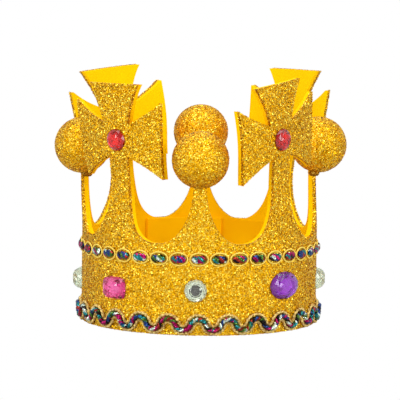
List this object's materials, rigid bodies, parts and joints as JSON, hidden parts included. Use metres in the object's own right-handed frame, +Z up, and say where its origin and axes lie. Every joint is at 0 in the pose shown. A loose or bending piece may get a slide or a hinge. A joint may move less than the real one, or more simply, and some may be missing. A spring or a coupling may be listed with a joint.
{
  "type": "paper crown",
  "caption": "Costume crown of gold glitter foam: a band with ball-topped spikes and flared crosses, gems, braid and a foil trim.",
  "frame": {"origin": "centre of the bottom rim, on the surface that the crown stands on", "axes": "+Z up along the crown's axis, -Y towards the front spike, +X to the right as seen from the front"},
  "size_m": [0.2237, 0.218, 0.1914],
  "materials": {
    "gold_glitter_foam": "glitter",
    "yellow_foam": "matt",
    "gold_glitter_ball": "glitter",
    "clear_gem": "faceted, foil backed",
    "pink_gem": "faceted, foil backed",
    "purple_gem": "faceted, foil backed",
    "red_gem": "faceted, foil backed",
    "gold_cord": "metallic thread",
    "foil_cord": "multicolour foil thread"
  },
  "bodies": {
    "root": {"crown_sheet": "gold_glitter_foam", "lining_sheet": "yellow_foam", "ball_front": "gold_glitter_ball", "ball_left": "gold_glitter_ball", "ball_right": "gold_glitter_ball", "ball_back": "gold_glitter_ball", "gem_front": "clear_gem", "gem_left": "clear_gem", "gem_right": "clear_gem", "gem_back": "clear_gem", "gem_front_left": "pink_gem", "gem_back_right": "pink_gem", "gem_front_right": "purple_gem", "gem_back_left": "purple_gem", "cross_gem_front_left": "red_gem", "cross_gem_front_right": "red_gem", "cross_gem_back_left": "red_gem", "cross_gem_back_right": "red_gem", "braid_loops": "gold_cord", "braid_beads": "foil_cord", "trim_foil_cord": "foil_cord", "trim_gimp_lower": "gold_cord", "trim_gimp_upper": "gold_cord"}
  },
  "joints": []
}
